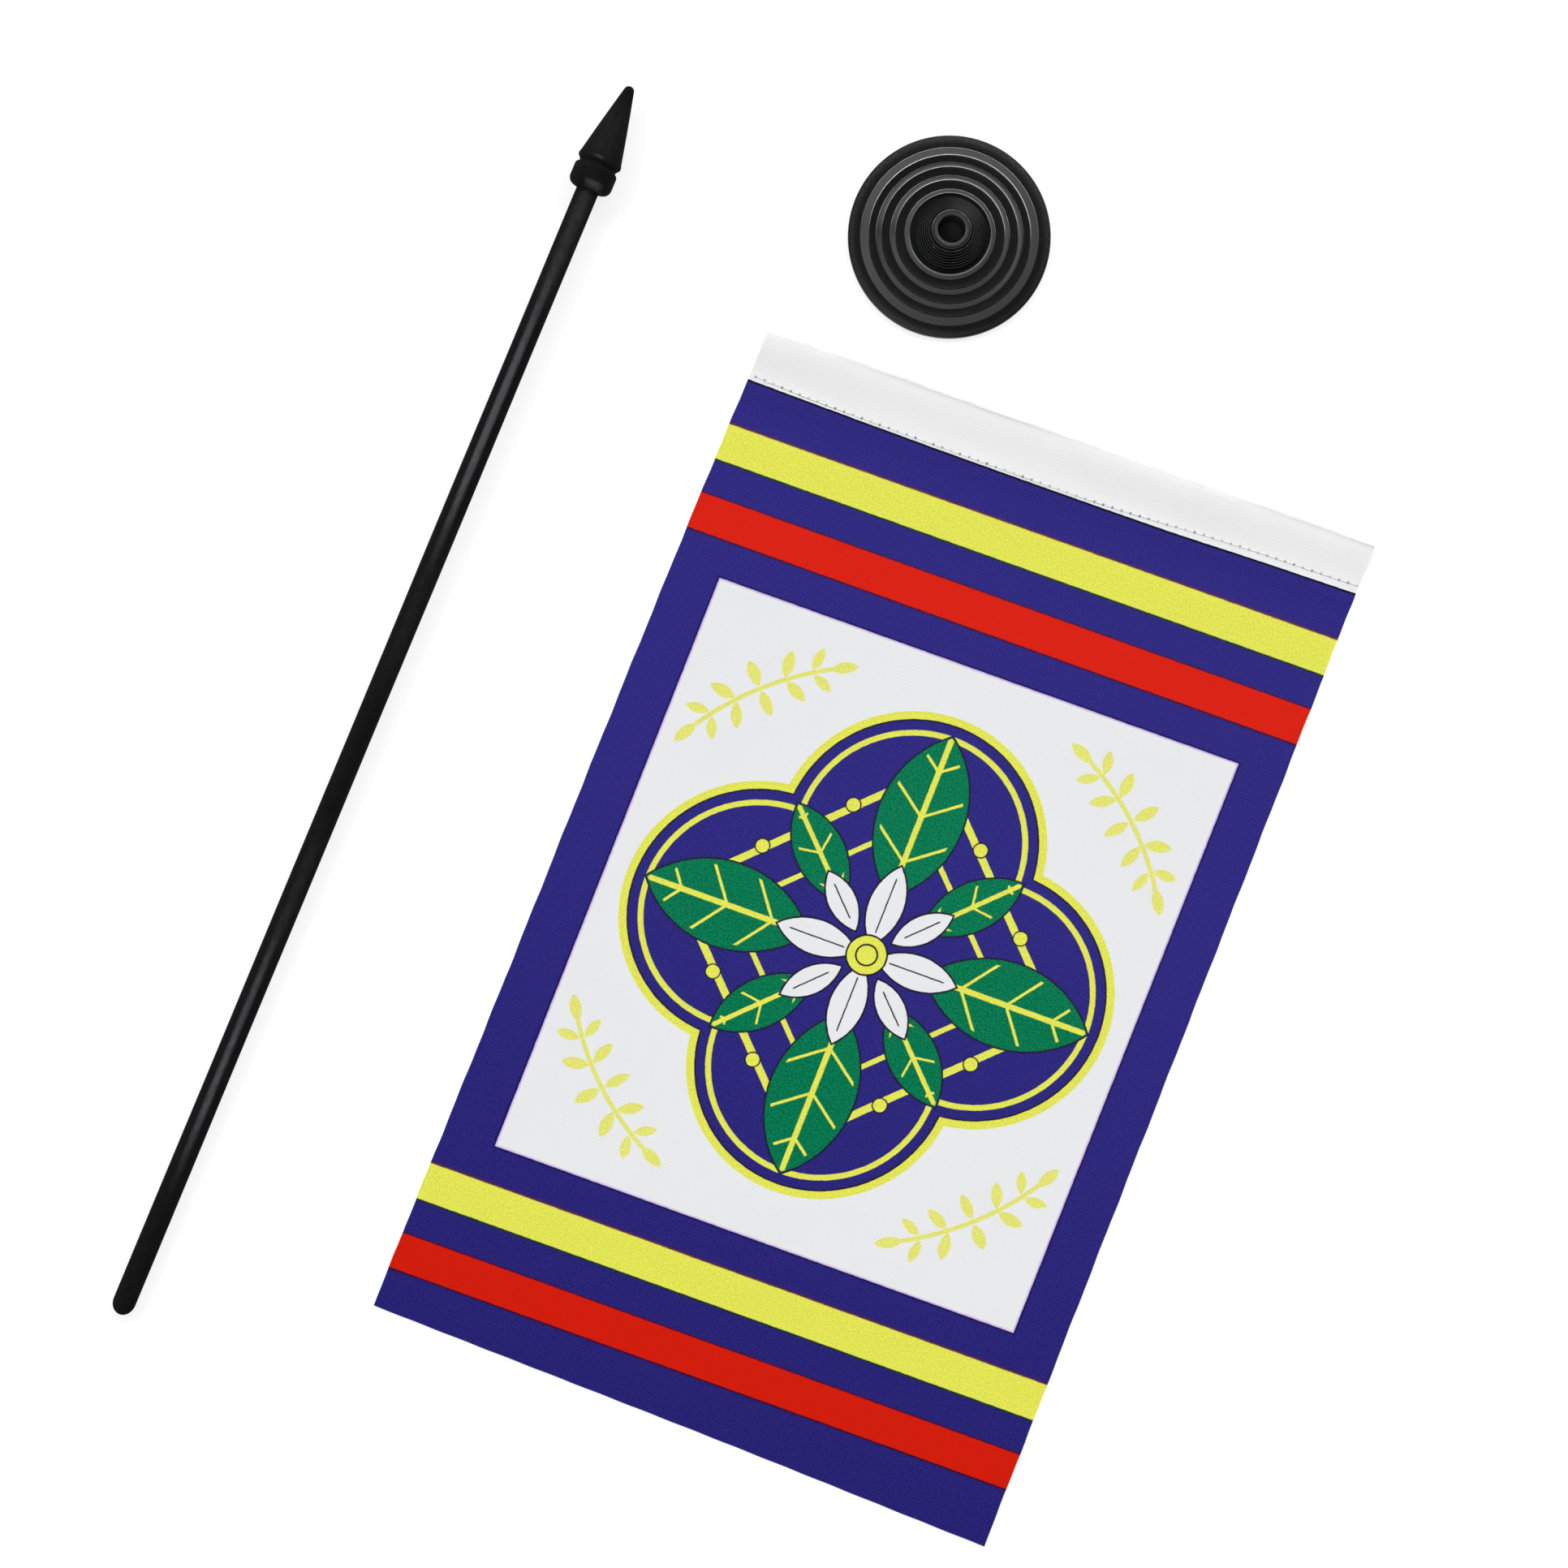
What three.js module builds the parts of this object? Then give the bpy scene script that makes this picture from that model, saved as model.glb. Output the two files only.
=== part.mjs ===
// A table flag laid out flat with its parts: the cloth with its sewn sleeve, the pole with its
// spear finial, and the round stepped base with the socket that takes the pole.
// Millimetres, +Z up, everything rests on z = 0. The flag's sleeve end points to +Y.

import * as THREE from "three";

// Cloth
const CLOTH_THICKNESS = 1.0;
const CUT_END_Y = -113.6;
const FOLD_Y = 116.2;
const STITCH_Y = 105.6;
const TAIL_BELOW_STITCHES = 1.6;
const RAMP_LENGTH = 4;
const SEAM_HALF_WIDTH = 0.8;
const SLEEVE_GAP = 1.2;
const SLEEVE_RISE_LENGTH = 2.4;
const SLEEVE_SWELL = 0.25;
const SLEEVE_SWELL_LENGTH = 94;
const SLEEVE_END_SKEW = 0.036;
const CLOTH_STEPS = 22;
const BEND_STEPS = 5;

// The flag's uneven side edges, from the cut end to the fold
const SIDE_EDGES = [
  { y: -113.6, left: -71.4, right: 70.7 },
  { y: -88.6, left: -71.3, right: 70.6 },
  { y: -36.0, left: -71.0, right: 70.3 },
  { y: 6.1, left: -70.9, right: 70.1 },
  { y: 37.7, left: -70.7, right: 69.9 },
  { y: 69.3, left: -70.4, right: 69.8 },
  { y: 90.4, left: -70.2, right: 69.7 },
  { y: 101.0, left: -69.7, right: 69.6 },
  { y: 118.8, left: -69.3, right: 69.4 },
];

// Pole and finial
const POLE_LENGTH = 286.1;
const SHAFT_RADIUS = 2.46;
const SHAFT_END_LENGTH = 2.85;
const FINIAL_LENGTH = 24.1;
const FINIAL_TIP_RADIUS = 1.15;
const FINIAL_RIM_RADIUS = 4.84;
const FINIAL_RIM_FROM_TIP = 17.4;
const FINIAL_WAIST_RADIUS = 4.15;
const FINIAL_WAIST_BELOW_RIM = 1.35;
const FINIAL_COLLAR_RADIUS = 4.78;
const FINIAL_CONE_DEG = 12.7;
const FINIAL_RIM_ROUND = 0.6;
const FINIAL_RIM_UNDERCUT_DEG = -60;
const FINIAL_SHOULDER_ROUND = 1;
const FINIAL_SHOULDER_DEG = 50;
const FINIAL_FOOT_ROUND = 1.8;
const FINIAL_SOCKET_DEPTH = 10;
const POLE_X = -121.4;
const POLE_Y = -135.2;
const POLE_HEADING_DEG = -1.08;

// Base
const BASE_RADIUS = 21.9;
const BASE_FLANGE_HEIGHT = 1.5;
const HUB_TOP = 11.8;
const BOSS_RADIUS = 4.2;
const BOSS_TOP = 12.5;
const SOCKET_RADIUS = 2.95;
const SOCKET_DEPTH = 10;
const BASE_EDGE_ROUND = 0.4;
const BASE_X = -40.6;
const BASE_Y = 146.6;

// Each ring of the base: its bevel climbs from foot to crest, and its flat lies at top
const BASE_RINGS = [
  { foot: 19.2, crest: 17.3, top: 2.9 },
  { foot: 15.8, crest: 14.7, top: 3.9 },
  { foot: 12.8, crest: 11.7, top: 4.8 },
  { foot: 9.8, crest: 8.8, top: 5.5 },
];

const PIECE_GAP = 0.3;
const LATHE_SEGMENTS = 48;
const ROUNDING_STEPS = 5;

const { clamp, degToRad, lerp, smoothstep } = THREE.MathUtils;

const printedCloth = new THREE.MeshStandardMaterial({ color: 0x312b7c, roughness: 0.8 });
const blackPlastic = new THREE.MeshStandardMaterial({ color: 0x121212, roughness: 0.45 });

// Cloth: a flat strip whose rows follow one line along the flag, over the fold and back under it

// The cloth's middle line as [y, z] points, from the cut end to the tail under the seam
function clothLine() {
  const flatZ = CLOTH_THICKNESS / 2;
  const seamZ = flatZ + CLOTH_THICKNESS + PIECE_GAP;
  const sleeveZ = flatZ + CLOTH_THICKNESS + SLEEVE_GAP;
  const tailEnd = STITCH_Y - TAIL_BELOW_STITCHES;
  const seamEnd = STITCH_Y + SEAM_HALF_WIDTH;
  const bendRadius = (sleeveZ - flatZ) / 2;
  const bendY = FOLD_Y - bendRadius - CLOTH_THICKNESS / 2;
  const line = new THREE.Path();
  line.moveTo(CUT_END_Y, flatZ);
  for (const { y } of SIDE_EDGES) {
    if (y > CUT_END_Y && y < tailEnd - RAMP_LENGTH) line.lineTo(y, flatZ);
  }
  line.lineTo(tailEnd - RAMP_LENGTH, flatZ);
  line.lineTo(tailEnd, seamZ);
  line.lineTo(seamEnd, seamZ);
  line.lineTo(seamEnd + SLEEVE_RISE_LENGTH, sleeveZ);
  line.lineTo(bendY, sleeveZ);
  line.absarc(bendY, flatZ + bendRadius, bendRadius, Math.PI / 2, -Math.PI / 2, true);
  line.lineTo(tailEnd, flatZ);
  return line.getPoints(BEND_STEPS);
}

// A point of the line moved to the cloth's face: side is 1/2 for the printed face, -1/2 for its back
function facePoint(line, row, side) {
  const before = line[Math.max(row - 1, 0)];
  const here = line[row];
  const after = line[Math.min(row + 1, line.length - 1)];
  const inward = row === 0 ? after.clone().sub(here) : here.clone().sub(before);
  const outward = row === line.length - 1 ? inward.clone() : after.clone().sub(here);
  const along = inward.normalize().clone().add(outward.normalize()).normalize();
  const reach = (side * CLOTH_THICKNESS) / along.dot(inward);
  return [here.x - reach * along.y, here.y + reach * along.x];
}

function sideEdge(y, side) {
  const upper = Math.max(SIDE_EDGES.findIndex((row) => row.y >= y), 1);
  const lowerRow = SIDE_EDGES[upper - 1];
  const upperRow = SIDE_EDGES[upper];
  const share = clamp((y - lowerRow.y) / (upperRow.y - lowerRow.y), 0, 1);
  return lerp(lowerRow[side], upperRow[side], share);
}

// Lays a point of the straight flag as the real one lies: across is 0 at its left edge, 1 at its right
function layPoint(across, y, z) {
  const skew = SLEEVE_END_SKEW * clamp((y - CUT_END_Y) / (STITCH_Y - CUT_END_Y), 0, 1);
  const laidY = y + skew * lerp(SIDE_EDGES[0].left, SIDE_EDGES[0].right, across);
  const laidX = lerp(sideEdge(laidY, "left"), sideEdge(laidY, "right"), across);
  const wave = Math.sin((2 * Math.PI * laidX) / SLEEVE_SWELL_LENGTH);
  const share = y > STITCH_Y ? smoothstep(z, CLOTH_THICKNESS, CLOTH_THICKNESS + SLEEVE_GAP) : 0;
  return [laidX, laidY, z + SLEEVE_SWELL * wave * share];
}

function flagCloth() {
  const line = clothLine();
  const lastRow = line.length - 1;
  const geometry = new THREE.BoxGeometry(1, 1, 1, CLOTH_STEPS, lastRow, 1);
  const points = geometry.getAttribute("position");
  for (let i = 0; i < points.count; i++) {
    const row = Math.round((points.getY(i) + 0.5) * lastRow);
    const [y, z] = facePoint(line, row, points.getZ(i));
    points.setXYZ(i, ...layPoint(points.getX(i) + 0.5, y, z));
  }
  return new THREE.Mesh(geometry, printedCloth);
}

// Rounded corner of a turned profile, as points on a circle from one heading to another
function roundedCorner(centreRadius, centreHeight, radius, fromDeg, toDeg) {
  return Array.from({ length: ROUNDING_STEPS + 1 }, (_, i) => {
    const angle = degToRad(lerp(fromDeg, toDeg, i / ROUNDING_STEPS));
    return [centreRadius + radius * Math.cos(angle), centreHeight + radius * Math.sin(angle)];
  });
}

// Turns a profile of [radius, height] rows about +Y, with one flat facet facing -Z
function turned(profile, material) {
  const points = profile.map(([radius, height]) => new THREE.Vector2(radius, height));
  const halfFacet = Math.PI / LATHE_SEGMENTS;
  return new THREE.Mesh(new THREE.LatheGeometry(points, LATHE_SEGMENTS, halfFacet), material);
}

function poleShaft() {
  const finialBottom = POLE_LENGTH - FINIAL_LENGTH;
  const spigotEnd = finialBottom + FINIAL_SOCKET_DEPTH - PIECE_GAP;
  const profile = [[0, 0]];
  for (let i = 1; i <= ROUNDING_STEPS; i++) {
    const angle = (Math.PI / 2) * (i / ROUNDING_STEPS);
    profile.push([SHAFT_RADIUS * Math.sin(angle), SHAFT_END_LENGTH * (1 - Math.cos(angle))]);
  }
  profile.push([SHAFT_RADIUS, spigotEnd], [0, spigotEnd]);
  return turned(profile, blackPlastic);
}

function spearFinial() {
  const bottom = POLE_LENGTH - FINIAL_LENGTH;
  const rimY = POLE_LENGTH - FINIAL_RIM_FROM_TIP;
  const waistY = rimY - FINIAL_WAIST_BELOW_RIM;
  const tipCentreY = POLE_LENGTH - FINIAL_TIP_RADIUS;
  const socketRadius = SHAFT_RADIUS + PIECE_GAP;
  const socketFloor = bottom + FINIAL_SOCKET_DEPTH;
  const footRound = FINIAL_FOOT_ROUND;
  const shoulderRound = FINIAL_SHOULDER_ROUND;
  const rimRound = FINIAL_RIM_ROUND;
  const collarRadius = FINIAL_COLLAR_RADIUS;
  const profile = [
    [0, socketFloor],
    [socketRadius, socketFloor],
    [socketRadius, bottom],
    ...roundedCorner(collarRadius - footRound, bottom + footRound, footRound, -90, 0),
    ...roundedCorner(
      collarRadius - shoulderRound,
      waistY - shoulderRound,
      shoulderRound,
      0,
      FINIAL_SHOULDER_DEG,
    ),
    [FINIAL_WAIST_RADIUS, waistY],
    ...roundedCorner(FINIAL_RIM_RADIUS - rimRound, rimY, rimRound, FINIAL_RIM_UNDERCUT_DEG, FINIAL_CONE_DEG),
    ...roundedCorner(0, tipCentreY, FINIAL_TIP_RADIUS, FINIAL_CONE_DEG, 90),
  ];
  return turned(profile, blackPlastic);
}

// The pole lies on its finial's rim and on its own lower end
function layPole(shaft, finial) {
  const rimY = POLE_LENGTH - FINIAL_RIM_FROM_TIP;
  const pitch = Math.atan((FINIAL_RIM_RADIUS - SHAFT_RADIUS) / (rimY - SHAFT_END_LENGTH));
  const pitched = new THREE.Group();
  pitched.add(shaft, finial);
  pitched.rotation.x = pitch;
  const pole = new THREE.Group();
  pole.add(pitched);
  pole.rotation.z = degToRad(POLE_HEADING_DEG);
  pole.position.set(POLE_X, POLE_Y, -lowestPoint(pole));
  return pole;
}

function lowestPoint(object) {
  return new THREE.Box3().setFromObject(object, true).min.z;
}

function standBase() {
  const round = BASE_EDGE_ROUND;
  const profile = [
    [0, 0],
    [BASE_RADIUS, 0],
    ...roundedCorner(BASE_RADIUS - round, BASE_FLANGE_HEIGHT - round, round, 0, 90),
  ];
  let flatHeight = BASE_FLANGE_HEIGHT;
  for (const ring of BASE_RINGS) {
    profile.push([ring.foot, flatHeight], [ring.crest, ring.top]);
    flatHeight = ring.top;
  }
  profile.push(
    [BOSS_RADIUS, HUB_TOP],
    ...roundedCorner(BOSS_RADIUS - round, BOSS_TOP - round, round, 0, 90),
    [SOCKET_RADIUS, BOSS_TOP],
    [SOCKET_RADIUS, BOSS_TOP - SOCKET_DEPTH],
    [0, BOSS_TOP - SOCKET_DEPTH],
  );
  const base = turned(profile, blackPlastic);
  base.rotation.x = Math.PI / 2;
  base.position.set(BASE_X, BASE_Y, 0);
  return base;
}

function named(name, mesh) {
  mesh.name = name;
  return mesh;
}

const layout = new THREE.Group();
layout.add(
  named("flag_cloth", flagCloth()),
  layPole(named("pole_shaft", poleShaft()), named("spear_finial", spearFinial())),
  named("stand_base", standBase()),
);

// The part's own origin is the middle of its box, on the surface it lies on
const box = new THREE.Box3().setFromObject(layout, true);
const centre = box.getCenter(new THREE.Vector3());
layout.position.set(-centre.x, -centre.y, -box.min.z);

const tableFlag = new THREE.Group();
tableFlag.add(layout);

export default tableFlag;
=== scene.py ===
"""A table flag laid out flat: the printed cloth with its sewn sleeve, the pole with its spear finial, and
the round stepped base. Profiles and places are written in millimetres and turned to metres in the making."""

import functools
from math import atan2, cos, pi, radians, sin, tan

import bpy
from mathutils import Matrix, Vector


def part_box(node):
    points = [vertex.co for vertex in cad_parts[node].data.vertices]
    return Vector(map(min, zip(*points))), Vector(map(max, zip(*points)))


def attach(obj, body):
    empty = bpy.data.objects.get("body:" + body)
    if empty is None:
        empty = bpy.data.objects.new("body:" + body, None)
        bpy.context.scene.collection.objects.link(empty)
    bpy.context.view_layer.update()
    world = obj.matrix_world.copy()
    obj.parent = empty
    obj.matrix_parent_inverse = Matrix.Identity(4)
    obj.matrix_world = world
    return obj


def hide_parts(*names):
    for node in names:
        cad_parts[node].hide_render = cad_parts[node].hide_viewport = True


bl_info = {
    "name": "Table flag",
    "version": (1, 0, 0),
    "blender": (4, 5, 0),
    "location": "3D View > Sidebar > Table flag",
    "description": "Makes a table flag laid out flat, with its pole, finial and base",
    "category": "Object",
}

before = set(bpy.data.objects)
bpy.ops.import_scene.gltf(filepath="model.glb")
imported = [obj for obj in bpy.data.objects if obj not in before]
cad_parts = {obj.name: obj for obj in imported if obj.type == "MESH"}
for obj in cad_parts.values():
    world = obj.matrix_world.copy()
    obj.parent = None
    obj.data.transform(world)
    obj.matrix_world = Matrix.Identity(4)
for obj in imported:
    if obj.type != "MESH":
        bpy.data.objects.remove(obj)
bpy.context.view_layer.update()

MM = 0.001
# The middle of the flag, where its own measures start, in the part's frame
FLAG_CENTRE = Vector((26.550, -16.627, 0.0))
# The middle line of the cloth along the flag, and the room between its layers
CUT_END_Y = -113.6
FOLD_Y = 116.2
STITCH_Y = 105.6
TAIL_END_Y = 104.0
LAYER_GAP = 0.06
SLEEVE_END_SKEW = 0.036
# The flag's left and right edges, as (y, left, right) rows
SIDE_EDGES = (
    (-113.6, -71.3, 70.5),
    (-88.6, -71.2, 70.4),
    (-36.0, -70.85, 70.15),
    (6.1, -70.75, 69.95),
    (37.7, -70.55, 69.8),
    (69.3, -70.25, 69.6),
    (90.4, -69.95, 69.5),
    (101.0, -69.75, 69.4),
    (118.8, -69.3, 69.4),
)
CLOTH_COLUMNS = 240
# The print's millimetres are divided by this in the UV map, so that its coordinates stay near 1
PRINT_SCALE = 100.0
# Where the print ends and the white sleeve starts: a height, a bow across the flag and a rise on its right.
# A rise is (from x, to x, from height, to height).
PRINT_END = 104.0
PRINT_END_BOW = 0.6 / 67.0**2
PRINT_END_RISE = (24.0, 52.0, 0.0, 0.3)
# The seam runs close above the print in the middle and moves away from it to both sides
SEAM_RISES = ((6.0, 40.0, 0.62, 1.62), (-54.0, -70.0, 0.0, 0.4))
SEAM_SHIFT = 0.35
# Lengths along the pole: its rounded end, and the finial with the depth of its socket
SHAFT_END = 2.85
FINIAL_LENGTH = 24.1
FINIAL_SOCKET = 10.0
# The crest of the base's innermost ring
LIP_RADIUS = 8.82


def linear(hex_colour):
    """Turns an sRGB hex colour into the linear one that Blender's sockets take"""
    channels = [int(hex_colour[i : i + 2], 16) / 255 for i in (0, 2, 4)]
    return [c / 12.92 if c <= 0.04045 else ((c + 0.055) / 1.055) ** 2.4 for c in channels] + [1.0]


def length(name, description, millimetres):
    return bpy.props.FloatProperty(
        name=name, description=description, default=millimetres * MM, min=0.0, unit="LENGTH", precision=5
    )


def colour(name, description, hex_colour):
    return bpy.props.FloatVectorProperty(
        name=name,
        description=description,
        default=linear(hex_colour),
        size=4,
        min=0.0,
        max=1.0,
        subtype="COLOR",
    )


class TableFlagCloth(bpy.types.PropertyGroup):
    thickness: length("Thickness", "Thickness of the woven cloth", 0.22)
    rest_height: length("Rest height", "Height of the cloth's middle where it lies flat", 0.16)
    sleeve_height: length("Sleeve height", "Height of the sleeve's upper layer above the surface", 1.35)
    tail_height: length("Tail height", "Height of the turned tail's middle under the seam", 0.28)
    violet: colour("Violet", "Ink of the ground", "302B80")
    yellow: colour("Yellow", "Ink of the yellow stripes and lines", "E5E758")
    red: colour("Red", "Ink of the red stripes", "DA2212")
    green: colour("Green", "Ink of the leaves", "0A7850")
    white: colour("White", "The cloth where nothing is printed", "EBECEE")
    sleeve_white: colour("Sleeve white", "The sleeve, where two layers of cloth lie on each other", "F2F2F2")
    pale_yellow: colour("Pale yellow", "Ink of the garlands in the corners", "E6E676")
    outline: colour("Outline", "Ink of the thin dark outlines", "262033")


class TableFlagSeam(bpy.types.PropertyGroup):
    stitches: bpy.props.IntProperty(
        name="Stitches", description="Needle holes along the seam", default=68, min=2
    )
    pitch: length("Pitch", "Distance from one needle hole to the next", 2.05)
    thread: length("Thread", "Diameter of the sewing thread", 0.24)
    thread_white: colour("Thread white", "Colour of the sewing thread", "F0F0F2")


class TableFlagPole(bpy.types.PropertyGroup):
    shaft_radius: length("Shaft radius", "Radius of the pole", 2.46)
    rim_radius: length("Rim radius", "Radius of the spear's rim", 4.84)
    collar_radius: length("Collar radius", "Radius of the collar under the spear", 4.78)
    black: colour("Black", "Colour of the pole's plastic", "131314")
    # The colour of the painted highlights on the pole and finial
    highlighted: colour("Scuffed", "Colour of the plastic where it is scuffed", "4E4E50")


class TableFlagBase(bpy.types.PropertyGroup):
    radius: length("Radius", "Radius of the base's flange", 21.9)
    boss_radius: length("Boss radius", "Radius of the rim round the socket", 4.2)
    boss_top: length("Boss top", "Height of the rim round the socket", 12.5)
    socket_radius: length("Socket radius", "Radius of the socket that takes the pole", 2.95)
    flange_height: length("Flange height", "Height of the flange's upper side", 1.5)
    black: colour("Black", "Colour of the base's plastic", "0A0A0C")
    # The colour of the wear and of a painted sheen on the base's socket rim, socket and flange edge
    wear_and_sheen: colour("Worn", "Colour of the plastic where poles and hands have rubbed it", "3A3A3C")


class TableFlagStage(bpy.types.PropertyGroup):
    camera_height: length("Camera height", "Height of the camera above the surface", 780.0)
    camera_lens: bpy.props.FloatProperty(
        name="Lens", description="Focal length of the camera", default=82.86, min=1.0, unit="CAMERA"
    )
    camera_turn: bpy.props.FloatProperty(
        name="Turn", description="Turn of the camera about its axis", default=radians(21.6), subtype="ANGLE"
    )
    floor: colour("Surface", "Colour of the surface that everything lies on", "8A8A8A")
    floor_glow: bpy.props.FloatProperty(
        name="Glow", description="Light that the surface gives off", default=0.8, min=0.0, subtype="FACTOR"
    )
    strip_strength: bpy.props.FloatProperty(
        name="Strip light", description="Strength of the strip light over the top", default=18.3, min=0.0
    )


class TableFlag(bpy.types.PropertyGroup):
    cloth: bpy.props.PointerProperty(name="Cloth", description="The printed cloth", type=TableFlagCloth)
    seam: bpy.props.PointerProperty(name="Seam", description="The sleeve's seam", type=TableFlagSeam)
    pole: bpy.props.PointerProperty(name="Pole", description="The pole and its finial", type=TableFlagPole)
    base: bpy.props.PointerProperty(name="Base", description="The stepped base", type=TableFlagBase)
    stage: bpy.props.PointerProperty(name="Stage", description="Light and camera", type=TableFlagStage)


def add_node(tree, kind, *inputs, named=None, **settings):
    """Adds a shader node. Inputs fill its sockets in order and named fills them by number or name; a node
    given as a value stands for its first output."""
    node = tree.nodes.new("ShaderNode" + kind)
    for setting, value in settings.items():
        setattr(node, setting, value)
    for socket, value in [*enumerate(inputs), *(named or {}).items()]:
        if value is None:
            continue
        if isinstance(value, bpy.types.Node):
            value = value.outputs[0]
        if isinstance(value, bpy.types.NodeSocket):
            tree.links.new(value, node.inputs[socket])
        else:
            node.inputs[socket].default_value = value
    return node


def empty_nodes(owner):
    """Clears a material's or a world's nodes and gives the function that adds new ones to it"""
    owner.use_nodes = True
    owner.node_tree.nodes.clear()
    return functools.partial(add_node, owner.node_tree)


def new_material(name):
    material = bpy.data.materials.new(name)
    return material, empty_nodes(material)


def finish_material(node, **sockets):
    """Ends a material with its shader. Each socket, by its name, gets a link or a constant."""
    shader = node("BsdfPrincipled", named={name.replace("_", " "): value for name, value in sockets.items()})
    node("OutputMaterial", shader)


def deselect_all():
    if bpy.context.mode != "OBJECT":
        bpy.ops.object.mode_set(mode="OBJECT")
    bpy.ops.object.select_all(action="DESELECT")


def select_only(*objects):
    deselect_all()
    for obj in objects:
        obj.select_set(True)
    bpy.context.view_layer.objects.active = objects[0]


def apply_modifier(obj, name, kind, **settings):
    modifier = obj.modifiers.new(name, kind)
    for setting, value in settings.items():
        setattr(modifier, setting, value)
    select_only(obj)
    bpy.ops.object.modifier_apply(modifier=modifier.name)


def name_piece(obj, name, slot, *replaced):
    """Names a finished piece, puts it on the one body and hides the parts it replaces. Its finish slot is
    not used.
    """
    obj.name = name
    obj.data.name = name
    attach(obj, "root")
    if replaced:
        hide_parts(*replaced)


def turn_form(profile, segments):
    """Raises a round form along +Z from a disc, by extruding its end face and resizing it ring by ring.
    The profile's [radius, height] rows are in millimetres."""
    deselect_all()
    radius, height = profile[0]
    bpy.ops.mesh.primitive_circle_add(vertices=segments, radius=radius * MM, fill_type="NGON")
    bpy.ops.object.mode_set(mode="EDIT")
    bpy.ops.mesh.select_all(action="SELECT")
    bpy.ops.transform.translate(value=(0.0, 0.0, height * MM), orient_type="GLOBAL")
    for next_radius, next_height in profile[1:]:
        bpy.ops.mesh.extrude_region_move(
            TRANSFORM_OT_translate={"value": (0, 0, (next_height - height) * MM), "orient_type": "GLOBAL"}
        )
        growth = next_radius / radius
        bpy.ops.transform.resize(
            value=(growth, growth, 1.0), orient_type="GLOBAL", center_override=(0, 0, next_height * MM)
        )
        radius, height = next_radius, next_height
    bpy.ops.mesh.select_all(action="SELECT")
    bpy.ops.mesh.normals_make_consistent(inside=False)
    bpy.ops.object.mode_set(mode="OBJECT")
    return bpy.context.object


def round_corner(centre_radius, centre_height, radius, from_degrees, to_degrees, steps):
    """Points of a turned profile on a rounded corner"""
    rows = []
    for step in range(steps + 1):
        angle = radians(from_degrees + (to_degrees - from_degrees) * step / steps)
        rows.append((centre_radius + radius * cos(angle), centre_height + radius * sin(angle)))
    return rows


def ring_rows(foot, crest, low, high, facet):
    """One ring of the base, from outside inwards: a small fillet, a straight bevel, and along its crest a
    narrow facet that leans outwards by 15 degrees, where the mould's edge was broken"""
    shoulder = high - facet * tan(radians(15.5))
    slope = (shoulder - low) / (foot - crest - facet)
    return [(foot + 0.04, low), (foot - 0.02, low + 0.02 * slope), (crest + facet, shoulder), (crest, high)]


def smooth(obj, degrees):
    select_only(obj)
    bpy.ops.object.shade_smooth_by_angle(angle=radians(degrees))


def along_pole():
    """The matrix that lays a form raised along +Z on the pole's axis, from its foot to the spear's tip"""
    foot = min((v.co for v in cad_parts["pole_shaft"].data.vertices), key=lambda p: p.y).copy()
    tip = max((v.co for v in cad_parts["spear_finial"].data.vertices), key=lambda p: p.y).copy()
    axis = (tip - foot).normalized()
    side = Vector((0.0, 0.0, 1.0)).cross(axis).normalized()
    up = axis.cross(side)
    turn = Matrix((side, up, axis)).transposed().to_4x4()
    return Matrix.Translation(foot) @ turn, (tip - foot).length


def smoothstep(value, low, high):
    share = min(max((value - low) / (high - low), 0.0), 1.0)
    return share * share * (3.0 - 2.0 * share)


def side_edges(y):
    """The left and right edges of the flag at a height along it, in millimetres"""
    for (low, left, right), (high, next_left, next_right) in zip(SIDE_EDGES, SIDE_EDGES[1:]):
        if y <= high:
            break
    share = min(max((y - low) / (high - low), 0.0), 1.0)
    return left + (next_left - left) * share, right + (next_right - right) * share


def laid_height(x, v):
    """The laid flag's y at a place in the print, whose rows slope a little to the flag's edges"""
    return v + (0.0308 + 0.00002 * v + 2.5e-7 * v * v) * x


def print_height(x, y):
    """How far up the print a point of the laid flag is"""
    v = y
    for _ in range(3):
        v = y - (laid_height(x, v) - v)
    return v


def cloth_rows(cloth):
    """The cloth's middle line as (y, height, length under the fold) rows, in millimetres, from the cut end
    over the seam and the fold to the end of the turned tail"""
    rest = cloth.rest_height / MM
    sleeve = cloth.sleeve_height / MM
    tail = cloth.tail_height / MM
    seam = tail + cloth.thickness / MM + LAYER_GAP
    even_end = 98.0
    even_rows = 88
    rows = [(CUT_END_Y + (even_end - CUT_END_Y) * i / even_rows, rest, 0.0) for i in range(even_rows)]
    # Over the tail and the seam the rows lie closer
    for i in range(34):
        y = even_end + 0.5 * i
        height = rest + (seam - rest) * smoothstep(y, 99.4, 103.6)
        height += (sleeve - seam) * smoothstep(y, STITCH_Y + 0.3, STITCH_Y + 8.6)
        rows.append((y, height, 0.0))
    bend = (sleeve - tail) / 2
    bend_y = FOLD_Y - bend - cloth.thickness / MM / 2
    for i in range(13):
        angle = pi * (0.5 - i / 12)
        height = tail + bend + bend * sin(angle)
        rows.append((bend_y + bend * cos(angle), height, bend * pi * i / 12))
    for i in range(1, 12):
        y = bend_y + (TAIL_END_Y - bend_y) * i / 11
        rows.append((y, tail, bend * pi + bend_y - y))
    return rows


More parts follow.
